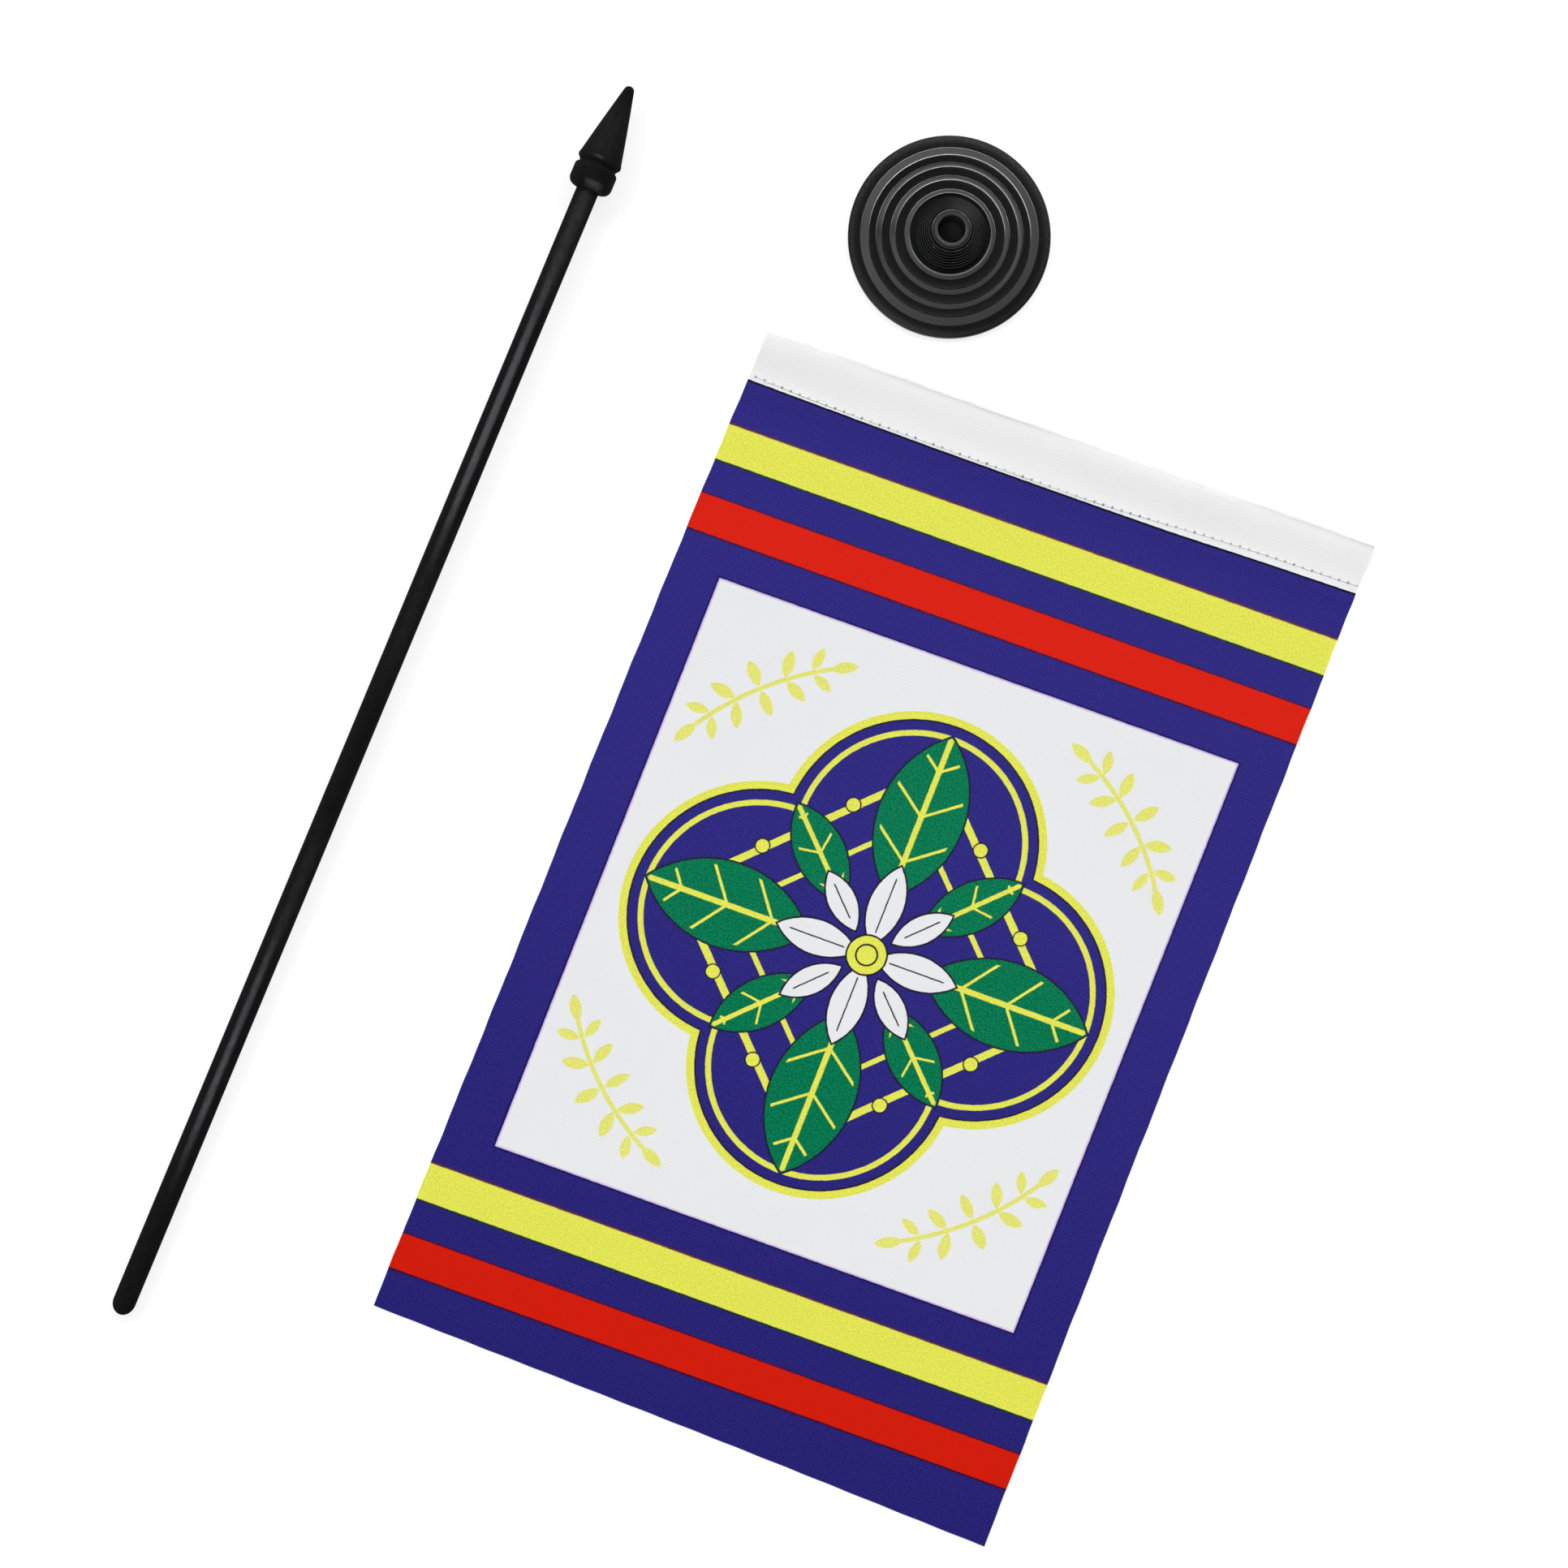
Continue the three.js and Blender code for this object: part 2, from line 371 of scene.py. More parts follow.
def lay_point(across, row):
    """Where a point of the straight cloth lies, and what part of the print is on it, in millimetres"""
    y, height, under = row
    skew = SLEEVE_END_SKEW * min(max((y - CUT_END_Y) / (STITCH_Y - CUT_END_Y), 0.0), 1.0)
    _, left, right = SIDE_EDGES[0]
    laid_y = y + skew * (left + (right - left) * across)
    left, right = side_edges(laid_y)
    x = left + (right - left) * across
    over = smoothstep(y, STITCH_Y, FOLD_Y - 3.0)
    # The fold and the cut end are never quite straight
    wander = 0.06 * sin(x / 7.3 + 1.2) + 0.03 * sin(x / 2.1 + 0.4)
    cut_share = 1.0 - smoothstep(y, CUT_END_Y, CUT_END_Y + 6.0)
    cut = 0.115 * cos(x / 24.0) + 0.125 + 0.0011 * x + 0.03 * sin(x / 1.7)
    laid_y += over * wander + cut_share * cut
    edge = abs(2.0 * across - 1.0) ** 24
    x += edge * (0.05 * sin(laid_y / 3.1) + 0.03 * sin(laid_y / 1.3 + 2.0)) * (1.0 - over)
    # Soft, uneven waves of a cloth that was packed flat, kept inside its own space
    flat = 1.0 - smoothstep(y, 92.0, 99.0)
    waves = 0.5 + 0.5 * sin(x / 17.0 + laid_y / 41.0) * sin(laid_y / 23.0 - x / 60.0 + 0.7)
    ripple = 0.5 + 0.5 * sin(laid_y / 9.0 + 1.5 * sin(x / 31.0))
    height += flat * (0.30 * waves + 0.05 * ripple)
    swell = 0.10 * sin(2.0 * pi * x / 94.0) + 0.02 * sin(x / 4.7 + 0.8)
    height += swell * over if under == 0.0 else 0.0
    return x, laid_y, height, print_height(x, laid_y) + under


class TABLE_FLAG_OT_cloth(bpy.types.Operator):
    """Make the printed cloth with its turned and sewn sleeve"""

    bl_idname = "table_flag.cloth"
    bl_label = "Printed cloth"
    bl_options = {"REGISTER", "UNDO"}

    def execute(self, context):
        cloth = context.scene.table_flag.cloth
        rows = cloth_rows(cloth)
        deselect_all()
        bpy.ops.mesh.primitive_grid_add(x_subdivisions=CLOTH_COLUMNS, y_subdivisions=len(rows) - 1, size=2.0)
        sheet = context.object
        mesh = sheet.data
        pitch = context.scene.table_flag.seam.pitch / MM
        printed = []
        for vertex in mesh.vertices:
            row = round((vertex.co.y + 1.0) / 2.0 * (len(rows) - 1))
            x, y, height, v = lay_point((vertex.co.x + 1.0) / 2.0, rows[row])
            vertex.co = (Vector((x, y, height)) + FLAG_CENTRE) * MM
            printed.append((x / PRINT_SCALE, v / PRINT_SCALE))
        uv_map = mesh.uv_layers[0]
        uv_map.name = "print"
        for loop in mesh.loops:
            uv_map.data[loop.index].uv = printed[loop.vertex_index]
        mesh.materials.append(printed_polyester(cloth, pitch, "printed_polyester_face", 0.0))
        mesh.materials.append(printed_polyester(cloth, pitch, "printed_polyester_back", 0.24))
        apply_modifier(
            sheet, "Thickness", "SOLIDIFY", thickness=cloth.thickness, offset=0.0, material_offset=1
        )
        smooth(sheet, 40.0)
        name_piece(sheet, "printed_flag_cloth", "printed_cloth", "flag_cloth")
        return {"FINISHED"}


def needle_hole(seam, i):
    """Where the needle went through, on the laid flag"""
    x = (i - (seam.stitches - 1) / 2) * seam.pitch / MM + SEAM_SHIFT
    v = PRINT_END + PRINT_END_BOW * x * x
    for low, high, start, end in (PRINT_END_RISE, *SEAM_RISES):
        v += start + (end - start) * smoothstep(x, low, high)
    return Vector((x, laid_height(x, v), 0.0)) + FLAG_CENTRE


class TABLE_FLAG_OT_seam(bpy.types.Operator):
    """Make the row of lock stitches that closes the sleeve, on both sides of the seam"""

    bl_idname = "table_flag.seam"
    bl_label = "Seam"
    bl_options = {"REGISTER", "UNDO"}

    def execute(self, context):
        seam = context.scene.table_flag.seam
        cloth = context.scene.table_flag.cloth
        radius = seam.thread / MM / 2
        run = seam.pitch / MM - 0.42
        # The thread dives into its hole at both ends
        end_rows = [(radius * 0.35, 0.0), (radius * 0.85, 0.12), (radius, 0.35)]
        far_rows = [(thick, run - height) for thick, height in reversed(end_rows)]
        stitch = turn_form([*end_rows, (radius * 1.04, run / 2), *far_rows], 8)
        for vertex in stitch.data.vertices:
            share = vertex.co.z / (run * MM)
            vertex.co.y += 0.09 * MM * (1.0 - (2.0 * share - 1.0) ** 2) - 0.05 * MM
        smooth(stitch, 60.0)
        holes = [needle_hole(seam, i) for i in range(seam.stitches)]
        tail = cloth.tail_height / MM
        upper = tail + cloth.thickness / MM * 1.5 + LAYER_GAP + radius * 0.55
        lower = tail - cloth.thickness / MM * 0.5 - radius * 0.35
        copies = []
        for start, end in zip(holes, holes[1:]):
            along = (end - start).normalized()
            for height, up in ((upper, 1.0), (lower, -1.0)):
                up_axis = Vector((0.0, 0.0, up))
                side = up_axis.cross(along)
                place = Matrix((side, up_axis, along)).transposed().to_4x4()
                middle = (start + end) / 2 - along * run / 2 + Vector((0.0, 0.0, height))
                copy = stitch.copy()
                copy.data = stitch.data.copy()
                copy.data.transform(Matrix.Translation(middle * MM) @ place)
                context.collection.objects.link(copy)
                copies.append(copy)
        bpy.data.objects.remove(stitch)
        select_only(*copies)
        bpy.ops.object.join()
        thread = context.object
        thread.data.materials.append(sewing_thread(seam))
        name_piece(thread, "sleeve_stitches", "printed_cloth")
        return {"FINISHED"}


class TABLE_FLAG_OT_pole(bpy.types.Operator):
    """Make the thin pole with its rounded lower end and its spigot inside the finial"""

    bl_idname = "table_flag.pole"
    bl_label = "Pole"
    bl_options = {"REGISTER", "UNDO"}

    def execute(self, context):
        pole = context.scene.table_flag.pole
        place, reach = along_pole()
        radius = pole.shaft_radius / MM
        spigot_end = reach / MM - FINIAL_LENGTH + FINIAL_SOCKET - 0.3
        profile = []
        for degrees in (4, 12, 20, 30, 40, 50, 60, 70, 80):
            angle = radians(degrees)
            profile.append((radius * sin(angle), SHAFT_END * (1.0 - cos(angle))))
        # The long shaft swells and thins by a few hundredths, as a moulded rod does
        for i in range(131):
            height = SHAFT_END + (spigot_end - 3.1 - SHAFT_END) * i / 130
            swell = 0.016 * sin(height / 13.0) + 0.012 * sin(height / 31.0 + 1.0)
            profile.append((radius + swell, height))
        profile.append((radius, spigot_end - 0.25))
        profile.append((radius - 0.25, spigot_end))
        shaft = turn_form(profile, 64)
        shaft.data.transform(place)
        smooth(shaft, 40.0)
        # Spots of painted highlight along the pole's upper side, where it is also a little glossier
        highlight_spots = (
            (0.2, 62.0, 1.15, 39.0, 0.95),
            (0.15, 211.0, 1.2, 45.0, 1.25),
            (0.3, 252.0, 2.3, 26.0, 0.33),
            (0.4, 98.0, 2.0, 22.0, 0.15),
            (0.5, 164.0, 2.4, 30.0, 0.07),
        )
        shaft.data.materials.append(matt_black_plastic(pole, place, "matt_black_polypropylene_rod", highlight_spots))
        name_piece(shaft, "pole_rod", "black_plastic", "pole_shaft")
        return {"FINISHED"}


class TABLE_FLAG_OT_finial(bpy.types.Operator):
    """Make the spear finial with its rim, waist and collar, hollow where the pole goes in"""

    bl_idname = "table_flag.finial"
    bl_label = "Spear finial"
    bl_options = {"REGISTER", "UNDO"}

    def execute(self, context):
        pole = context.scene.table_flag.pole
        place, reach = along_pole()
        total = reach / MM
        foot = total - FINIAL_LENGTH
        rim_height = total - 17.4
        waist_height = rim_height - 1.35
        bore = pole.shaft_radius / MM + 0.12
        collar = pole.collar_radius / MM
        rim = pole.rim_radius / MM
        tip = 1.15
        slope = radians(12.7)
        profile = [(bore * 0.5, foot + FINIAL_SOCKET), (bore, foot + FINIAL_SOCKET)]
        profile += [(bore, foot + 1.2), (bore + 0.12, foot + 0.25), (bore + 0.35, foot)]
        profile += round_corner(collar - 1.8, foot + 1.8, 1.8, -90.0, 0.0, 10)
        profile += round_corner(collar - 1.0, waist_height - 1.0, 1.0, 0.0, 52.0, 6)
        profile += [(4.22, waist_height - 0.12), (4.12, waist_height + 0.05), (4.16, waist_height + 0.3)]
        profile += round_corner(rim - 0.6, rim_height, 0.6, -62.0, 0.0, 6)
        # A narrow lip stands just below the long cone
        profile += [(rim - back, rim_height + up) for back, up in ((0.0, 0.35), (0.07, 0.62), (0.16, 0.8))]
        cone_start = (rim - 0.22, rim_height + 1.05)
        cone_end = (tip * cos(slope), total - tip + tip * sin(slope))
        for i in range(25):
            share = i / 24
            across, height = (low + (high - low) * share for low, high in zip(cone_start, cone_end))
            profile.append((across + 0.05 * sin(pi * share), height))
        profile += round_corner(0.0, total - tip, tip, 22.0, 84.0, 8)
        spear = turn_form(profile, 96)
        spear.data.transform(place)
        smooth(spear, 38.0)
        # Spots of painted highlight on the finial's upper side, where it is also a little glossier
        highlight_spots = (
            (0.0, total - 12.0, 5.0, 12.0, 0.08),
            (1.2, foot + 1.0, 2.8, 1.4, 0.75),
            (0.1, rim_height + 0.35, 1.6, 0.5, 0.45),
        )
        spear.data.materials.append(matt_black_plastic(pole, place, "matt_black_polypropylene_cast", highlight_spots))
        name_piece(spear, "spear_point", "black_plastic", "spear_finial")
        return {"FINISHED"}


class TABLE_FLAG_OT_base(bpy.types.Operator):
    """Make the round base: a thin flange, four bevelled rings, a grooved hub and the socket for the pole"""

    bl_idname = "table_flag.base"
    bl_label = "Stepped base"
    bl_options = {"REGISTER", "UNDO"}

    def execute(self, context):
        base = context.scene.table_flag.base
        turn = context.scene.table_flag.stage.camera_turn
        lowest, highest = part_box("stand_base")
        centre = (lowest + highest) / 2
        radius = base.radius / MM
        boss = base.boss_radius / MM
        top = base.boss_top / MM
        socket = base.socket_radius / MM
        # The flange falls a little to its edge, which has a small chamfer
        profile = [(radius - 0.5, 0.0), (radius, 0.0), (radius, 1.18), (radius - 0.1, 1.32)]
        profile.append((radius - 1.6, 1.5))
        low = base.flange_height / MM
        for foot, crest, high, facet in (
            (19.25, 17.4, 2.9, 0.2),
            (15.85, 14.7, 3.9, 0.14),
            (12.85, 11.7, 4.8, 0.17),
            (9.75, LIP_RADIUS, 5.5, 0.06),
        ):
            profile += ring_rows(foot, crest, low, high, facet)
            # Behind its crest each ring dips a little before the flat
            low = high - 0.08
            if crest > 9.0:
                profile += [(crest - 0.05, high - 0.03), (crest - 0.4, low)]
        # The innermost ring has a facet on its inner side too, above a deep groove round the hub
        hub_foot = 7.96
        groove_floor = 4.95
        profile += [(8.6, 5.44), (8.55, groove_floor), (hub_foot, groove_floor)]
        # The hub climbs in fine steps, as its mould was cut, each with a tread that leans inwards a little
        steps = 8
        first_step = 5.6
        hub_top = 11.7
        pitch = (hub_foot - boss - 0.22) / steps
        rise = (hub_top - first_step) / (steps - 1)
        for i in range(steps):
            outer = hub_foot - pitch * i
            height = first_step + rise * i
            tread_end = (outer - pitch, height - 0.05)
            profile += [(outer - 0.01, height - 0.06), (outer - 0.05, height), tread_end]
        profile += round_corner(boss - 0.25, top - 0.25, 0.25, 0.0, 90.0, 8)
        profile += round_corner(socket + 0.2, top - 0.2, 0.2, 96.0, 180.0, 8)
        profile.append((socket, top - 10.0))
        body = turn_form(profile, 160)
        # Two moulding nibs stand on the hub beside the rim of the socket
        parts = [body]
        for heading, away, height in ((225.0, 5.15, hub_top - 0.75), (285.0, 4.65, hub_top + 0.1)):
            angle = radians(heading) + turn
            nib = Vector((away * cos(angle), away * sin(angle), height)) * MM
            deselect_all()
            bpy.ops.mesh.primitive_uv_sphere_add(segments=32, ring_count=16, radius=0.3 * MM, location=nib)
            bpy.ops.object.transform_apply(location=True, rotation=True, scale=True)
            parts.append(context.object)
        select_only(*parts)
        bpy.ops.object.join()
        body.data.transform(Matrix.Translation((centre.x, centre.y, 0.0)))
        smooth(body, 13.0)
        body.data.materials.append(satin_black_plastic(base, centre, turn))
        name_piece(body, "stepped_base", "black_plastic", "stand_base")
        return {"FINISHED"}


def printed_polyester(cloth, pitch, name, fading):
    """Thin woven polyester with dye-printed inks: matt with a faint sheen, flat bright colours, and a fine
    plain weave that breaks up the light. The weave is about 0.2 mm in the real cloth and is drawn at 0.7 mm
    to show. The back shows the same print a little faded."""
    material, node = new_material(name)
    uv = node("UVMap", uv_map="print")
    place = node("VectorMath", uv, (PRINT_SCALE,) * 3, operation="MULTIPLY")
    bleed = node("TexNoise", place, named={"Scale": 0.9, "Detail": 1.0})
    shift = node("VectorMath", bleed.outputs["Color"], (0.5, 0.5, 0.5), operation="SUBTRACT")
    place = node("VectorMath", shift, (0.16, 0.16, 0.0), place, operation="MULTIPLY_ADD")
    axes = node("SeparateXYZ", place)
    across, along = axes.outputs[0], axes.outputs[1]
    ink = node("RGB").outputs[0]
    ink.default_value = cloth.violet

    def line(value, centre, half_width, soft=0.07):
        """A mask that is 1 within half_width of a value and 0 outside it"""
        away = node("Math", value, centre, operation="SUBTRACT")
        away = node("Math", away, operation="ABSOLUTE")
        return inside(away, half_width, soft)

    def inside(distance, edge, soft=0.07):
        """A mask that is 1 where a distance is under edge"""
        return node("MapRange", distance, edge - soft, edge + soft, 1.0, 0.0).outputs[0]

    def paint(under, mask, over):
        return node("MixRGB", mask, under, over).outputs[0]

    def leaf(where, centre, turn, half_length, half_width):
        """The signed distance to a pointed leaf, and how far along it and beside its rib a point is"""
        local = node("Mapping", where, (*centre, 0.0), (0.0, 0.0, radians(turn)), vector_type="TEXTURE")
        reach = (half_length**2 + half_width**2) / (2 * half_width)
        folded = node("VectorMath", local, operation="ABSOLUTE")
        beside = node("SeparateXYZ", folded).outputs[1]
        folded = node("VectorMath", folded, (0.0, reach - half_width, 0.0), operation="ADD")
        far = node("VectorMath", folded, operation="LENGTH").outputs["Value"]
        distance = node("Math", far, reach, operation="SUBTRACT")
        return distance, node("SeparateXYZ", local).outputs[0], beside

    # Stripes across both ends, each with the thin dark lines where two inks meet
    stripes = (
        (90.1, 4.12, cloth.yellow, (94.3, 0.2, "6B2F3F"), (85.85, 0.22, "1D3A2E")),
        (74.1, 4.12, cloth.red, (78.3, 0.14, "4A1630"), (69.9, 0.18, "45152B")),
        (-82.35, 4.17, cloth.yellow, (-78.1, 0.2, "6B2F3F"), (-86.65, 0.22, "1D3A2E")),
        (-98.45, 4.05, cloth.red, (-94.35, 0.14, "4A1630"), (-102.6, 0.18, "45152B")),
    )
    for middle, half, stripe_ink, upper, lower in stripes:
        ink = paint(ink, line(along, middle, half), stripe_ink)
        for height, half_line, shade in (upper, lower):
            ink = paint(ink, line(along, height, half_line, 0.1), linear(shade))

    # The white panel, with a lilac rim and a darker line round it
    centred = node("VectorMath", place, (0.1, 4.1, 0.0), operation="ADD")
    folded = node("VectorMath", centred, operation="ABSOLUTE")
    outside = node("VectorMath", folded, (59.5, 66.05, 0.0), operation="SUBTRACT")
    parts = node("SeparateXYZ", outside)
    border = node("Math", parts.outputs[0], parts.outputs[1], operation="MAXIMUM")
    ink = paint(ink, inside(border, 0.45, 0.15), linear("241D66"))
    ink = paint(ink, inside(border, 0.0), linear("D9C4E4"))
    ink = paint(ink, inside(border, -0.35, 0.1), cloth.white)

    # Folding the panel's middle eight times over makes one leaf into a rosette
    corner = node("SeparateXYZ", folded)
    longer = node("Math", corner.outputs[0], corner.outputs[1], operation="MAXIMUM")
    shorter = node("Math", corner.outputs[0], corner.outputs[1], operation="MINIMUM")
    eighth = node("CombineXYZ", longer, shorter)
    lobe = node("VectorMath", eighth, (25.5, 0.0, 0.0), operation="DISTANCE")
    lobe = lobe.outputs["Value"]
    ink = paint(ink, inside(lobe, 29.3), cloth.yellow)
    ink = paint(ink, inside(lobe, 27.6), cloth.outline)
    ink = paint(ink, inside(lobe, 27.25), cloth.violet)
    ink = paint(ink, line(lobe, 24.6, 0.62), cloth.yellow)
    slant = node("Math", longer, shorter, operation="ADD")
    ink = paint(ink, line(slant, 43.5, 1.15), cloth.yellow)
    ink = paint(ink, line(slant, 31.0, 0.8), cloth.yellow)

    leaves = (
        ((17.4, 17.4), 45.0, 12.4, 5.6, 0.5, 4.2),
        ((32.0, 0.0), 0.0, 19.0, 9.6, 0.62, 5.2),
    )
    for centre, turn, half_length, half_width, rib, spacing in leaves:
        distance, forward, beside = leaf(eighth, centre, turn, half_length, half_width)
        ink = paint(ink, inside(distance, 0.0), cloth.outline)
        ink = paint(ink, inside(distance, -0.38), cloth.green)
        lag = node("Math", beside, 0.75, operation="MULTIPLY")
        vein = node("Math", forward, lag, operation="SUBTRACT")
        vein = node("Math", vein, spacing, operation="PINGPONG")
        veins = node("Math", inside(vein, rib * 0.62), inside(distance, -1.5), operation="MULTIPLY")
        ribs = node("Math", inside(beside, rib), inside(distance, -0.6), operation="MULTIPLY")
        veins = node("Math", veins, ribs, operation="MAXIMUM")
        ink = paint(ink, veins, cloth.yellow)

    berry = node("VectorMath", eighth, (29.6, 14.6, 0.0), operation="DISTANCE").outputs["Value"]
    ink = paint(ink, inside(berry, 1.75), cloth.outline)
    ink = paint(ink, inside(berry, 1.45), cloth.yellow)

    # The white flower in the middle
    petals = (((9.2, 9.2), 45.0, 7.6, 3.3), ((11.4, 0.0), 0.0, 9.6, 4.1))
    for centre, turn, half_length, half_width in petals:
        distance, _, beside = leaf(eighth, centre, turn, half_length, half_width)
        ink = paint(ink, inside(distance, 0.0), cloth.outline)
        ink = paint(ink, inside(distance, -0.42), cloth.white)
        crease = node("Math", inside(beside, 0.16), inside(distance, -2.1), operation="MULTIPLY")
        ink = paint(ink, crease, cloth.outline)
    heart = node("VectorMath", centred, operation="LENGTH").outputs["Value"]
    ink = paint(ink, inside(heart, 4.6), cloth.outline)
    ink = paint(ink, inside(heart, 4.2), cloth.yellow)
    ink = paint(ink, line(heart, 2.3, 0.2), cloth.outline)

    # Garlands of five pale leaves on an arc in each corner of the panel
    turn_angle = node("Math", corner.outputs[1], corner.outputs[0], operation="ARCTAN2")
    arc_radius = 63.0
    arc = node("Math", turn_angle, radians(47.5), operation="SUBTRACT")
    arc = node("Math", arc, arc_radius, operation="MULTIPLY")
    rise = node("Math", heart, arc_radius, operation="SUBTRACT")
    beside = node("Math", rise, operation="ABSOLUTE")
    reach = node("Math", arc, operation="ABSOLUTE")
    stem = node("Math", inside(beside, 0.5), inside(reach, 16.0), operation="MULTIPLY")
    ink = paint(ink, stem, cloth.pale_yellow)
    sprig = node("CombineXYZ", reach, beside)
    for along_stem, away, turn, half_length in (
        (0.0, 3.6, 90.0, 3.0),
        (7.2, 3.1, 62.0, 3.0),
        (13.4, 2.7, 55.0, 2.6),
        (18.6, 0.0, 0.0, 3.0),
    ):
        distance = leaf(sprig, (along_stem, away), turn, half_length, half_length * 0.42)[0]
        ink = paint(ink, inside(distance, 0.0), cloth.pale_yellow)

    # The sleeve is left white above the last violet band, with a thin dark line where the print stops
    lift = node("Math", across, across, operation="MULTIPLY")
    right_lift = node("MapRange", across, *PRINT_END_RISE, interpolation_type="SMOOTHSTEP")
    lift = node("Math", lift, PRINT_END_BOW, right_lift, operation="MULTIPLY_ADD")
    above = node("Math", along, lift, operation="SUBTRACT")
    above = node("Math", PRINT_END, above, operation="SUBTRACT")
    ink = paint(ink, inside(above, 0.42, 0.1), linear("0C0A16"))
    ink = paint(ink, inside(above, 0.0), cloth.sleeve_white)

    # Needle holes in the sleeve's seam, one for each stitch, painted grey as painted shade in the holes
    seam_place = above
    for seam_rise in SEAM_RISES:
        away = node("MapRange", across, *seam_rise, interpolation_type="SMOOTHSTEP")
        seam_place = node("Math", seam_place, away, operation="ADD")
    hole = node("Math", across, SEAM_SHIFT - pitch / 2, operation="SUBTRACT")
    hole = node("Math", hole, pitch / 2, operation="PINGPONG")
    hole = node("CombineXYZ", hole, seam_place)
    hole = node("VectorMath", hole, operation="LENGTH").outputs["Value"]
    needle = inside(hole, 0.29, 0.13)
    tension = node("TexNoise", place, named={"Scale": 0.35, "Detail": 1.0})
    tension = node("MapRange", tension, 0.35, 0.65, 0.3, 1.0)
    ink = paint(ink, node("Math", needle, tension, operation="MULTIPLY"), linear("77787E"))

    # Painted shade: the fold is painted a little grey along its rounded edge
    crease = node("Math", line(along, 116.5, 1.0, 0.6), 0.6, operation="MULTIPLY")
    ink = paint(ink, crease, linear("DCDCDD"))

    # Fine grain of the weave and faint unevenness of the dye
    grain = node("TexNoise", place, named={"Scale": 2.4, "Detail": 2.0, "Roughness": 0.7})
    # The white of the yarn shows through most in the dark inks, and a little in the yellow
    bright = node("RGBToBW", ink)
    parts = node("SeparateXYZ", ink)
    lightest = node("Math", parts.outputs[0], parts.outputs[2], operation="MAXIMUM")
    depth = node("Math", 1.0, lightest, operation="SUBTRACT")
    depth = node("Math", depth, 3.0, operation="POWER")
    depth = node("Math", depth, 3.4, operation="MULTIPLY")
    yellowness = node("Math", parts.outputs[1], parts.outputs[2], operation="SUBTRACT")
    yellowness = node("Math", yellowness, 0.9, operation="MULTIPLY")
    yellowness = node("Math", yellowness, 0.05, operation="MAXIMUM")
    depth = node("Math", depth, yellowness, operation="ADD")
    uneven = node("Math", grain, 0.5, operation="SUBTRACT")
    uneven = node("Math", uneven, depth, operation="MULTIPLY")
    # The inks grow a little darker towards the flag's free end, the dark inks most
    free_end_darkening = node("MapRange", along, -110.0, 20.0, 0.26, 0.0)
    darkness = node("Math", 1.0, bright, operation="SUBTRACT")
    darkness = node("Math", darkness, 6.0, operation="POWER")
    free_end_darkening = node("Math", free_end_darkening, darkness, operation="MULTIPLY")
    uneven = node("VectorMath", uneven, (1.0, 1.0, 0.62), (1.0, 1.0, 1.0), operation="MULTIPLY_ADD")
    uneven = node("VectorMath", uneven, free_end_darkening, operation="SUBTRACT")
    ink = node("VectorMath", ink, uneven, operation="MULTIPLY").outputs[0]
    free_end_dimming = node("MapRange", along, -110.0, 20.0, 0.004, 0.0)
    ink = node("VectorMath", ink, free_end_dimming, operation="SUBTRACT").outputs[0]
    if fading:
        ink = paint(ink, fading, cloth.white)

    warp = node("TexWave", place, named={"Scale": 0.45}, bands_direction="X")
    weft = node("TexWave", place, named={"Scale": 0.45}, bands_direction="Y")
    weave = node("Math", warp, weft, operation="MULTIPLY")
    relief = node("Math", grain, weave, operation="ADD")
    relief = node("Math", relief, needle, operation="SUBTRACT")
    bump = node("Bump", named={"Strength": 0.11, "Distance": 0.0002, "Height": relief})
    finish_material(
        node,
        Base_Color=ink,
        Roughness=0.82,
        Specular_IOR_Level=0.05,
        Sheen_Weight=0.015,
        Sheen_Roughness=0.5,
        Normal=bump,
    )
    return material


def sewing_thread(seam):
    """Spun white polyester thread: two plies twisted together, a little glossier than the cloth"""
    material, node = new_material("white_sewing_thread")
    place = node("TexCoord").outputs["Object"]
    place = node("Mapping", place, None, (0.0, 0.0, 0.6), (1000.0,) * 3)
    plies = node("TexWave", place, named={"Scale": 1.2, "Distortion": 0.5})
    bump = node("Bump", named={"Strength": 0.5, "Distance": 0.00006, "Height": plies})
    # The thread is painted a little darker in the grooves between its plies, as painted shade
    shade = node("MapRange", plies, 0.0, 1.0, 0.9, 1.0)
    tint = node("VectorMath", tuple(seam.thread_white)[:3], shade, operation="MULTIPLY")
    finish_material(node, Base_Color=tint, Roughness=0.6, Sheen_Weight=0.1, Normal=bump)
    return material


